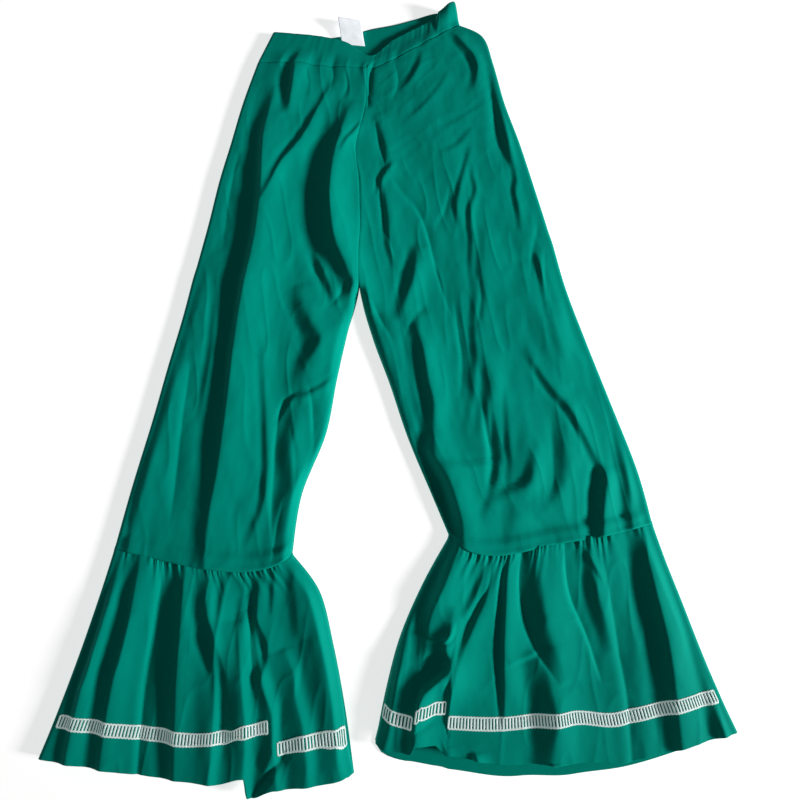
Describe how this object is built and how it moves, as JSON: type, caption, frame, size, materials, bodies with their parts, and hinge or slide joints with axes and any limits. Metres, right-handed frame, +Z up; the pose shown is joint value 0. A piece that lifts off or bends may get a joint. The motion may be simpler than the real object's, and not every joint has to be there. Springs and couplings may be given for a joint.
{
  "type": "ruffle trousers",
  "caption": "Child's pull-on trousers laid flat, with two tapering legs, an elastic waistband and a gathered ruffle with a stitched hem on each leg.",
  "frame": {"origin": "middle of the laid garment's bounding box, on the surface it lies on", "axes": "+Z up off the surface, +Y towards the waist, +X towards the wearer's left leg"},
  "size_m": [0.4739, 0.6452, 0.0134],
  "materials": {
    "jersey": "matte cotton knit with a faint sheen",
    "slip": "smooth white label ribbon"
  },
  "bodies": {
    "root": {"leg_right": "jersey", "leg_left": "jersey", "ruffle_right": "jersey", "ruffle_left": "jersey", "waistband": "jersey", "label": "slip"}
  },
  "joints": []
}
